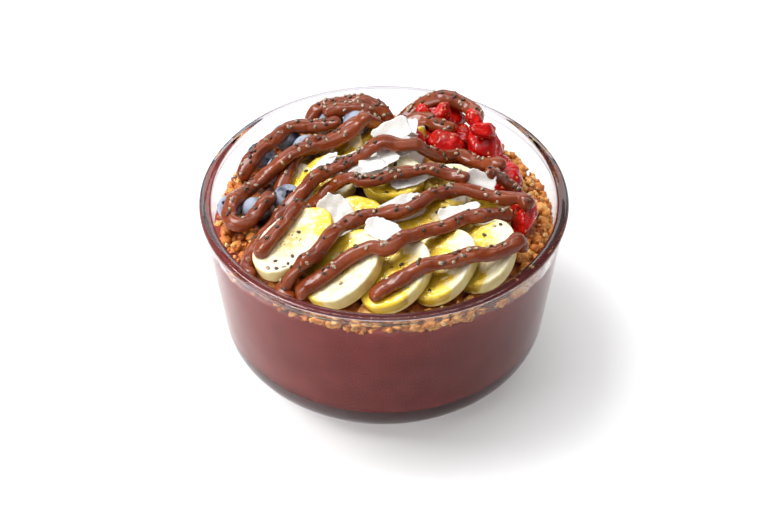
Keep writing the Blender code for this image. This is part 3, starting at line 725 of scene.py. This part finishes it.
def banana_slice(middle, axes, half, seed, way, reach, film=False):
    """Rings from the underside's middle, round the rim and over the cut face. The outline is
    an oval with three soft corners; waves roughen the face, which dips round its middle.
    It gives the skin and its fields. A film is the skin alone, lifted off the face by the
    honey's depth and sunk elsewhere."""
    turn = full_turn(112)
    curve = np.linspace(0, np.pi / 2, 6)[1:]
    edge = SLICE_EDGE / half[1]
    inset = list(np.linspace(0.1, 1 - edge, 5)) + list(1 - edge + edge * np.sin(curve))
    inset += [1.0, 1.004, 1.006, 1.004, 1.0] + list(1 - edge + edge * np.cos(curve))
    inset += list(np.linspace(1 - edge, 0.01, 38)[1:])
    depth = SLICE_EDGE / half[2]
    height = [-1.0] * 5 + list(-1 + depth - depth * np.cos(curve))
    height += list(np.linspace(-1 + depth, 1 - depth, 7)[1:-1]) + list(1 - depth + depth * np.sin(curve))
    height += [1.0] * 37
    inset, height = np.array(inset)[:, None], np.array(height)[:, None]
    outline = 1 + 0.016 * np.cos(3 * turn + seed) + 0.010 * np.cos(5 * turn + 2 * seed)
    oval = inset * outline
    local = np.stack([oval * np.cos(turn), oval * np.sin(turn), height + 0 * turn], -1) * half
    face = smooth_step(height, 0.7, 1.0) * (inset < 1)
    dip = 0.00025 * np.cos(np.clip(inset, 0, 1) * 7.5) - 0.0003 * np.exp(-((inset / 0.2) ** 2))
    grain = 0.00014 * waves(local, 0.0042, seed) + 0.00007 * waves(local, 0.0017, seed + 1)
    local[..., 2] += face * (dip + grain)
    placed = local @ axes + middle
    compass = np.array([math.cos(math.radians(way)), math.sin(math.radians(way))])
    toward = (placed - middle)[..., :2] @ compass / half[1]
    soaked = toward + reach + 0.30 * waves(placed, 0.011, seed + 2) + 0.12 * waves(placed, 0.004, seed + 3)
    honey = smooth_step(soaked, -0.15, 0.75) * smooth_step(height, -0.9, 0.3)
    if film:
        pooled = smooth_step(soaked, 0.1, 0.6) * smooth_step(height, -0.9, 0.3)
        side = inset > 0.94
        out = np.stack([np.cos(turn) * side, np.sin(turn) * side, 0 * turn + (height > -0.5)], -1)
        out = out / np.maximum(np.linalg.norm(out, axis=-1, keepdims=True), 1e-6)
        swell = FILM_DEEPEST * pooled * (0.75 + 0.25 * waves(placed, 0.006, seed + 4))
        swell = swell + FILM_HIDDEN * (pooled - 1)
        return shell(placed + (out * swell[..., None]) @ axes)
    spots = np.random.default_rng(seed).normal(0, 1, (9, 2)) * 0.05
    spots += 0.2 * np.stack([np.cos(np.arange(9) * 2.1), np.sin(np.arange(9) * 2.1)], -1)
    plan = local[..., :2] / half[:2]
    seeded = (np.hypot(*(plan[..., None, :] - spots).transpose(3, 0, 1, 2)).min(-1) < 0.022) * face
    fields = {"inset": inset + 0 * turn, "honey": honey, "seeded": seeded}
    return shell(placed), {label: with_poles(values) for label, values in fields.items()}


banana_flesh = finish(
    "banana_flesh", Roughness=0.3, Coat_Weight=0.25, Coat_Roughness=0.1, Subsurface_Weight=0.2,
    Subsurface_Scale=0.004, Subsurface_Radius=(1.0, 0.7, 0.35),
)
cream = ramp(
    banana_flesh, field(banana_flesh, "inset"), (0.05, paint(226, 204, 138)), (0.32, paint(240, 224, 170)),
    (0.55, paint(252, 243, 212)), (0.97, paint(254, 247, 222)), (1.0, paint(238, 218, 150)),
)
mottle_stops = (0.3, paint(236, 222, 176)), (0.62, paint(255, 255, 252))
mottled = ramp(banana_flesh, noise(banana_flesh, 0.0035, 5.0), *mottle_stops)
cream = blend(banana_flesh, 0.6, cream, mottled, "MULTIPLY")
soaked = blend(banana_flesh, field(banana_flesh, "honey"), cream, paint(230, 206, 104))
soaked = blend(banana_flesh, field(banana_flesh, "seeded"), soaked, paint(120, 92, 48))
feed(banana_flesh, "Base Color", soaked)
relief(banana_flesh, (noise(banana_flesh, 0.0022, 4.0), 0.00025))

clear_honey = finish(
    "clear_honey", Base_Color=paint(236, 214, 110), Roughness=0.03, IOR=1.48, Transmission_Weight=1.0,
)
honey_stops = (0.35, paint(236, 210, 78)), (0.65, paint(248, 232, 136))
feed(clear_honey, "Base Color", ramp(clear_honey, noise(clear_honey, 0.008), *honey_stops))
relief(clear_honey, (noise(clear_honey, 0.009, 1.0), 0.0004))
films = []
for number, (way, reach) in enumerate(HONEYED, 1):
    node = f"banana_slice_{number:02d}"
    slice_shape = *fitted(node), number * 5, way, reach
    skin, slice_fields = banana_slice(*slice_shape)
    add_piece(f"cut_banana_{number:02d}", skin, banana_flesh, "banana", [node], **slice_fields)
    films.append(banana_slice(*slice_shape, film=True))
add_piece("honey_film", joined(films), clear_honey, "honey").visible_shadow = False

# Thinner slices tucked under the chocolate at the left and back, lying flat on the heap:
# x, y and half width in mm, then the honey's direction and reach
TUCKED = [
    (-21, 42, 11.5, 250, 0.3), (-35, 30, 10.5, 300, 0.3), (-33, 0, 10, 100, 0.6), (-7, 33, 12, 200, 0.1),
    (-14, 50, 10, 270, 0.5), (-40, 14, 9, 280, 0.2), (8, 46, 11, 250, 0.4), (-28, -12, 10, 90, 0.8),
]
below = tree_of([name for name in in_bowl if not name.startswith("chocolate")])[0]
TUCKED_THICKNESS = 5.2
tucked_slices, tucked_films = [], []


def lying(tree, x, y, reach):
    """The height and the upward direction of the flat that best fits the heap round (x, y)."""
    spots = np.array([(x + reach * a, y + reach * b) for a in (-1, 0, 1) for b in (-1, 0, 1)])
    tops = np.array([dropped(tree, *spot)[0].z for spot in spots])
    slope = np.linalg.lstsq(np.column_stack([spots - (x, y), np.ones(9)]), tops, rcond=None)[0]
    return slope[2], (-slope[0], -slope[1], 1.0)


for number, (x, y, half_width, way, reach) in enumerate(TUCKED):
    height, upper = lying(below, x / 1000, y / 1000, half_width / 1600)
    axes = axes_from(upper, number)
    half = np.array([half_width * 1.12, half_width, TUCKED_THICKNESS / 2]) / 1000
    middle = np.array([x / 1000, y / 1000, height - 0.0008])
    slice_shape = middle, axes, half, 200 + number, way, reach
    tucked_slices.append(banana_slice(*slice_shape))
    tucked_films.append(banana_slice(*slice_shape, film=True))
tucked_skins, slice_fields = zip(*tucked_slices)
tucked_fields = {label: np.concatenate([one[label] for one in slice_fields]) for label in slice_fields[0]}
add_piece("tucked_bananas", joined(tucked_skins), banana_flesh, "banana", **tucked_fields)
add_piece("tucked_honey", joined(tucked_films), clear_honey, "honey").visible_shadow = False

# ---- coconut
# Wide shavings of fresh coconut, thin, white and a little see-through, curled as they dried,
# with torn edges, the larger ones on top of the fruit and the smaller ones between it.

FLAKE_THICKNESS = 0.0006
FLAKE_SQUARENESS = 3.2
FLAKE_RINGS = 16


def bend_of(name, middle, axes, half):
    """The parabola both ways that best fits a CAD flake, over its length and its width."""
    reach = (skin_of(name)[0] - middle) @ axes.T
    u, v = reach[:, 0] / half[0], reach[:, 1] / half[1]
    return np.linalg.lstsq(np.stack([0 * u + 1, u, v, u * u, v * v, u * v], -1), reach[:, 2], rcond=None)[0]


def coconut_flake(middle, axes, half, bend, seed):
    """A thin sheet in rings from the underside's middle to the upper side's. Its outline is
    a soft-cornered oblong torn by waves, and it bends as a parabola both ways."""
    turn = full_turn(150)
    plan = np.stack([np.cos(turn), np.sin(turn)], -1)
    edge = (np.abs(plan) ** FLAKE_SQUARENESS).sum(-1) ** (-1 / FLAKE_SQUARENESS)
    torn = 0.08 * waves(plan, 1.3, seed) + 0.03 * waves(plan, 0.35, seed + 1)
    edge = edge * (1.04 + torn + 0.010 * waves(plan, 0.12, seed + 2))
    inset = np.linspace(0.05, 1, FLAKE_RINGS)
    inset = np.concatenate([inset, inset[-2::-1]])[:, None]
    side = np.where(np.arange(len(inset)) < FLAKE_RINGS - 1, -1.0, 1.0)[:, None]
    side = side * np.sqrt(1 - inset**6 * 0.96)
    u, v = inset * edge * np.cos(turn), inset * edge * np.sin(turn)
    flat = np.stack([u * half[0], v * half[1], 0 * u], -1)
    w = bend[0] + bend[1] * u + bend[2] * v + bend[3] * u * u + bend[4] * v * v + bend[5] * u * v
    w = w + 0.00028 * waves(flat, 0.007, seed + 3) + 0.0005 * waves(flat, 0.016, seed + 4)
    flat[..., 2] = w + side * FLAKE_THICKNESS / 2
    return shell(flat @ axes + middle)


coconut_white = finish(
    "coconut_white", Roughness=0.42, Subsurface_Weight=0.35, Subsurface_Scale=0.002,
    Subsurface_Radius=(1.0, 0.95, 0.9),
)
fibres = noise(coconut_white, 0.0012, 4.0, (1, 3.5, 1))
coconut_stops = (0.3, paint(226, 223, 216)), (0.6, paint(244, 243, 240))
feed(coconut_white, "Base Color", ramp(coconut_white, fibres, *coconut_stops))
relief(coconut_white, (fibres, 0.00012))
for number in range(1, 13):
    node = f"coconut_flake_{number:02d}"
    middle, axes, half = fitted(node)
    skin = coconut_flake(middle, axes, half, bend_of(node, middle, axes, half), 40 + number)
    add_piece(f"shaved_coconut_{number:02d}", skin, coconut_white, "coconut", [node])

# More shavings tucked in between the fruit: x, y, half length and half width in mm, and turn
SHAVINGS = [
    (-15, 27, 13, 7, 35), (-4, 33, 10, 6.5, 20), (3, 40, 9, 6, 60), (-28, 36, 5, 3, 40),
    (-37, 21, 5, 3, 70), (-42, 9, 4.5, 3, 20), (-24, 50, 5, 3, 100), (-27, 17, 8, 3, 50),
    (13, 28, 8, 4.5, 10), (22, 10, 9, 5, 350), (-2, 10, 9, 5.5, 20), (30, -3, 7, 4.5, 30),
    (-33, -8, 6, 3, 60), (44, -27, 5, 3, 0), (16, -30, 6, 3.5, 30), (-47, -31, 3.5, 2.2, 60),
    (10, 34, 6, 4, 130),
]
shavings = []
for number, (x, y, long_half, short_half, turn) in enumerate(SHAVINGS):
    height, upper = lying(below, x / 1000, y / 1000, long_half / 2000)
    axes = axes_from(upper)
    axes = axes_from(upper, math.radians(turn) - math.atan2(axes[0][1], axes[0][0]))
    half = np.array([long_half, short_half]) / 1000
    bend = np.array([0, 0, 0, 0.10 * long_half, 0.16 * short_half, 0]) / 1000
    middle = np.array([x / 1000, y / 1000, height + 0.0014])
    shavings.append(coconut_flake(middle, axes, half, bend, 90 + 3 * number))
add_piece("tucked_coconut", joined(shavings), coconut_white, "coconut")

# ---- chocolate
# Soft milk chocolate, squeezed out in one thick wandering string after another. Each string
# is a round bead about 5 mm wide, a little ridged and flattened, lying over what is below.

BEAD_RADIUS = 0.0025
BEAD_STEP = 0.0004
BEAD_WIDER = 1.25
STRINGS = {
    "back_left": [(-36, 56), (-31, 60), (-23, 63), (-14, 64), (-7, 62), (-1, 59), (4, 55)],
    "back_right": [(5, 57.5), (9, 60), (15, 64), (23, 64), (33, 61), (40, 57), (43, 50), (41, 43)],
    "back_left_inner": [(-29, 56), (-23, 57), (-16, 57), (-9, 56), (-3, 53)],
    "back_right_inner": [(8, 53), (15, 55), (22, 52), (27, 46), (33, 43)],
    "left_outer": [
        (-66, 20), (-62, 27), (-57, 33), (-51, 40), (-45, 47), (-37, 50), (-28, 50), (-20, 51),
    ],
    "left_inner": [(-47, 6), (-44, 16), (-38, 29), (-32, 35), (-24, 39), (-15, 45), (-8, 48)],
    "left_loop": [
        (-1, 50), (-7, 45), (-13, 41), (-19, 37), (-27, 32), (-36, 26), (-44, 19), (-53, 14), (-61, 6),
        (-66, -3), (-68.5, -11), (-66, -17), (-61, -18), (-56, -13), (-52, -6), (-50, 0),
    ],
    "long_upper": [
        (-54, -48), (-57.5, -47.5), (-59, -44), (-57, -37), (-52, -25), (-46, -14), (-39, -6), (-31, 1),
        (-22, 9), (-12, 15), (0, 18), (10, 17), (20, 20), (29, 27), (35, 29), (40, 25), (47, 18),
        (55, 13),
    ],
    "long_lower": [
        (-54, -48), (-48, -40), (-41, -30), (-35, -17), (-30, -7), (-25, 0), (-19, 0), (-11, -4),
        (-3, -3), (6, 1), (17, 2), (29, 1), (38, -3),
    ],
    "long_end": [(45, 2), (51, 4), (57, 5), (61, 2)],
    "middle": [
        (-37, -64), (-41, -62.5), (-42, -59), (-34, -56), (-27, -49), (-21, -40), (-15, -30), (-8, -24),
        (1, -22), (9, -21), (16, -17), (23, -11), (33, -7), (43, -9), (52, -11), (60, -12), (65, -17),
    ],
    "front": [
        (-37, -64), (-29, -61), (-22, -57), (-14, -52), (-6, -50), (2, -51), (9, -45), (18, -38),
        (27, -34), (34, -27), (44, -24), (56, -17),
    ],
    "front_right": [
        (-6, -69), (1, -66), (8, -63), (17, -59), (27, -56), (36, -53), (46, -50), (55, -44), (60, -38),
    ],
}

# The strings that were squeezed out thicker than the rest, and how much
FULLER = {
    "back_left": 1.22, "back_right": 1.3, "back_left_inner": 1.15, "back_right_inner": 1.25, "front": 1.12,
    "front_right": 1.16, "middle": 1.06, "left_loop": 1.08, "long_upper": 1.08, "left_outer": 1.15,
    "left_inner": 1.08,
}


def even_route(corners):
    """Evenly spaced points on the smooth curve through the corners (a Catmull-Rom curve)."""
    corners = np.array(corners, float) / 1000
    ends = np.vstack([2 * corners[0] - corners[1], corners, 2 * corners[-1] - corners[-2]])
    part = np.linspace(0, 1, 40, endpoint=False)[:, None]
    curve = []
    for a, b, c, d in zip(ends, ends[1:], ends[2:], ends[3:]):
        bent = (2 * a - 5 * b + 4 * c - d) * part**2 + (3 * b - a - 3 * c + d) * part**3
        curve.append(0.5 * (2 * b + (c - a) * part + bent))
    curve = np.vstack(curve + [corners[-1:]])
    along = np.concatenate([[0], np.cumsum(np.hypot(*np.diff(curve, axis=0).T))])
    even = np.arange(0, along[-1], BEAD_STEP)
    return np.stack([np.interp(even, along, curve[:, 0]), np.interp(even, along, curve[:, 1])], -1)


def smoothed(values, window):
    """Each value averaged with those near it, the ends held."""
    padded = np.concatenate([np.full(window, values[0]), values, np.full(window, values[-1])])
    weights = np.hanning(2 * window + 1)
    return np.convolve(padded, weights / weights.sum(), "same")[window:-window]


def bead_heights(name, route):
    """The bead's centre height along its route: the solid's top less the radius, allowing
    for the slope, and smoothed."""
    tree = tree_of([f"chocolate_{name}"])[0]
    tops = [dropped(tree, x, y)[0] for x, y in route]
    known = np.array([top is not None for top in tops])
    heights = np.array([0 if top is None else top.z for top in tops])
    index = np.arange(len(route))
    heights = smoothed(np.interp(index, index[known], heights[known]), 6)
    slope = np.gradient(heights, BEAD_STEP)
    return smoothed(heights - BEAD_RADIUS * np.sqrt(1 + np.clip(slope, -1.2, 1.2) ** 2), 5)


def bead(name, seed):
    """A round bead carried along its route. Its width swells and thins by waves, two low
    ridges wind along it, it is flatter than it is wide, and both its ends are rounded."""
    route = even_route(STRINGS[name])
    centres = np.column_stack([route, bead_heights(name, route)])
    forward = one_long(np.gradient(centres, axis=0))
    side = one_long(np.cross(forward, [0, 0, 1]))
    upper = np.cross(side, forward)
    along = np.arange(len(route)) * BEAD_STEP
    line = np.stack([along, 0 * along], -1)
    swelling = 0.09 * waves(line, 0.014, seed) + 0.02 * waves(line, 0.005, seed + 1)
    size = BEAD_RADIUS * FULLER.get(name, 1.0) * (1.04 + swelling)
    nearest_end = np.minimum(along, along[-1] - along)
    size = size * np.sqrt(np.clip(1 - (1 - np.clip(nearest_end / (BEAD_RADIUS * 1.2), 0, 1)) ** 2, 0.02, 1))
    turn = full_turn(28)
    wind = 2.2 * waves(line, 0.03, seed + 2)[:, None]
    ridged = 1 + 0.055 * np.cos(3 * turn + wind) + 0.03 * np.cos(5 * turn - 2 * wind)
    ring = side[:, None] * np.cos(turn)[:, None] * BEAD_WIDER + upper[:, None] * np.sin(turn)[:, None]
    ring = (size[:, None] * ridged)[..., None] * ring
    return shell(centres[:, None] + ring), centres, side, upper, size


milk_chocolate = finish(
    "milk_chocolate", Roughness=0.32, Specular_IOR_Level=0.3, Coat_Weight=0.4, Coat_Roughness=0.09,
    Subsurface_Weight=0.05, Subsurface_Scale=0.001,
)
chocolate_stops = (0.3, paint(112, 40, 10)), (0.7, paint(142, 64, 23))
feed(milk_chocolate, "Base Color", ramp(milk_chocolate, noise(milk_chocolate, 0.01, 4.0), *chocolate_stops))
glossy_stops = (0.35, 0.24), (0.65, 0.36)
feed(milk_chocolate, "Roughness", ramp(milk_chocolate, noise(milk_chocolate, 0.003), *glossy_stops))
relief(milk_chocolate, (noise(milk_chocolate, 0.006, 2.0), 0.0003))
beads = {}
for number, name in enumerate(STRINGS):
    skin, *beads[name] = bead(name, 60 + 5 * number)
    add_piece(f"chocolate_string_{name}", skin, milk_chocolate, "chocolate", [f"chocolate_{name}"])

# ---- chia seeds
# Dry chia seeds, 2 mm ovals, some nearly black and some pale grey, sprinkled thickest on the
# chocolate while it was soft, with a few on the honeyed fruit.

# How many seeds lie on each string, and between which parts of its length, 0 to 1
SEEDED = {
    "back_left": [(34, 0, 1)],
    "back_right": [(34, 0, 1)],
    "back_left_inner": [(20, 0, 1)],
    "back_right_inner": [(20, 0, 1)],
    "left_outer": [(26, 0, 1)],
    "left_inner": [(18, 0.1, 1)],
    "left_loop": [(24, 0, 0.45), (20, 0.5, 1)],
    "long_upper": [(10, 0.1, 0.4), (22, 0.4, 0.6), (24, 0.6, 1)],
    "long_lower": [(12, 0.05, 0.35), (46, 0.5, 1)],
    "long_end": [(16, 0, 1)],
    "middle": [(12, 0.05, 0.35), (38, 0.35, 1)],
    "front": [(10, 0.05, 0.35), (26, 0.35, 1)],
    "front_right": [(3, 0.1, 0.4), (24, 0.4, 1)],
}
LOOSE_SEEDS = 120
CLUMP_SEEDS = 16
CLUMP_X, CLUMP_Y = (-0.043, 0.006), (-0.057, 0.003)
SEED_HALF = np.array([0.00115, 0.00078, 0.00062])
SEED_LIFT = 0.0003


def seeds_at(places, normals, random):
    """Small ovals as one skin: a ball's rings stretched to seed shape, one end blunter, each
    turned at random and laid flat on the surface under it."""
    count = len(places)
    turn = full_turn(8)
    unit = ball(np.linspace(np.pi, 0, 7)[1:-1, None], turn)
    unit[..., 1] *= 1 + 0.12 * np.cos(turn)
    rows = unit[None] * (SEED_HALF * random.uniform(0.88, 1.1, (count, 1)))[:, None, None]
    upper = one_long(normals + 0.25 * random.normal(size=(count, 3)))
    long_way = one_long(np.cross(upper, random.normal(size=(count, 3))))
    axes = np.stack([long_way, np.cross(upper, long_way), upper], 1)
    rows = np.einsum("nrac,ncd->nrad", rows, axes)
    return many_skins(rows + (places + normals * SEED_LIFT)[:, None, None])


sprinkle = np.random.default_rng(7)
places, normals = [], []
for name, groups in SEEDED.items():
    centres, side, upper, size = beads[name]
    for count, start, end in groups:
        index = (sprinkle.uniform(start, end, count) * (len(centres) - 1)).astype(int)
        lean = sprinkle.normal(0, 0.75, count).clip(-1.5, 1.5)[:, None]
        normal = side[index] * np.sin(lean) + upper[index] * np.cos(lean)
        places.append(centres[index] + normal * size[index][:, None])
        normals.append(normal)
clump = np.column_stack([sprinkle.normal(*spread, CLUMP_SEEDS) for spread in (CLUMP_X, CLUMP_Y)])
loose = np.vstack([clump, sprinkle.uniform((-0.06, -0.072), (0.06, 0.06), (LOOSE_SEEDS * 3, 2))])
for x, y in loose[: LOOSE_SEEDS + CLUMP_SEEDS]:
    point, slope, face = dropped(heap_tree, x, y)
    if point is not None and heap_owner[face].startswith(("banana", "blueberry")):
        places.append(np.array(point)[None])
        normals.append(np.array(slope)[None] * np.sign(slope.z))
places, normals = np.vstack(places), np.vstack(normals)
pale = sprinkle.random(len(places)) < 0.5

dark_seed = finish("dark_seed", Roughness=0.45)
dark_stops = (0.35, paint(44, 29, 22)), (0.65, paint(104, 80, 62))
feed(dark_seed, "Base Color", ramp(dark_seed, noise(dark_seed, 0.0007), *dark_stops))
relief(dark_seed, (noise(dark_seed, 0.0005), 0.00005))
pale_seed = finish("pale_seed", Roughness=0.5)
pale_stops = (0.35, paint(132, 108, 86)), (0.65, paint(206, 186, 160))
feed(pale_seed, "Base Color", ramp(pale_seed, noise(pale_seed, 0.0008), *pale_stops))
relief(pale_seed, (noise(pale_seed, 0.0005), 0.00005))
add_piece("dark_chia_seeds", seeds_at(places[~pale], normals[~pale], sprinkle), dark_seed, "seed")
add_piece("pale_chia_seeds", seeds_at(places[pale], normals[pale], sprinkle), pale_seed, "seed")

# ---- table, light and camera
# A plain white table that runs out of sight, soft oblong lights on the left, behind and
# overhead, and a white surround. The camera looks down on the bowl from the front.

TABLE_HALF = 4
TABLE_DROP = 0.0003
table = bpy.data.meshes.new("table")
corners = np.array([(-1, -1, 0), (1, -1, 0), (1, 1, 0), (-1, 1, 0)]) * TABLE_HALF - [0, 0, TABLE_DROP]
table.from_pydata(corners, [], [(0, 1, 2, 3)])
table.materials.append(finish(
    "white_table", Base_Color=(0.85, 0.85, 0.85, 1), Roughness=0.7, Emission_Color=(1, 1, 1, 1),
    Emission_Strength=0.14,
))
in_scene("table", table)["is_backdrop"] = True


def soft_light(name, place, width, height, power):
    """An oblong soft light at a place, turned to the middle of the bowl."""
    lamp = bpy.data.lights.new(name, "AREA")
    lamp.shape = "RECTANGLE"
    lamp.size, lamp.size_y = width, height
    lamp.energy = power
    made = in_scene(name, lamp)
    made.location = place
    made.rotation_euler = (Vector((0, 0, 0.05)) - Vector(place)).to_track_quat("-Z", "Y").to_euler()


soft_light("key", (-0.92, 0.22, 1.52), 0.8, 0.8, 23.0)
soft_light("fill", (-1.35, -0.55, 0.70), 0.7, 0.7, 9.0)
soft_light("back", (0, 1.48, 1.0), 2.4, 0.5, 9.0)
soft_light("strip", (0, 0.30, 1.55), 1.8, 0.07, 5.0)
surround = bpy.data.worlds.new("surround")
surround.use_nodes = True
sky_place = surround.node_tree.nodes.new("ShaderNodeTexCoord")
sky_height = surround.node_tree.nodes.new("ShaderNodeSeparateXYZ")
connect(surround, sky_place.outputs["Generated"], sky_height.inputs["Vector"])
sky = ramp(surround, sky_height.outputs["Z"], (0.0, 0.5), (0.2, 0.4), (0.5, 0.12), (0.78, 0.12), (0.9, 1.0))
connect(surround, sky, surround.node_tree.nodes["Background"].inputs["Color"])
surround.node_tree.nodes["Background"].inputs["Strength"].default_value = 1.1
bpy.context.scene.world = surround

LOOK_DOWN = math.radians(41.67)
CAMERA_AWAY = 0.75
AIM_HEIGHT = 0.0469
LENS_LENGTH = 76.03
lens = bpy.data.cameras.new("camera")
lens.sensor_width = 36
lens.lens = LENS_LENGTH
lens.clip_start = 0.01
camera = in_scene("camera", lens)
camera.location = (0, -CAMERA_AWAY * math.cos(LOOK_DOWN), AIM_HEIGHT + CAMERA_AWAY * math.sin(LOOK_DOWN))
camera.rotation_euler = (math.pi / 2 - LOOK_DOWN, 0, 0)
bpy.context.scene.camera = camera
bpy.context.scene.view_settings.view_transform = "Standard"

low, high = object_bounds()
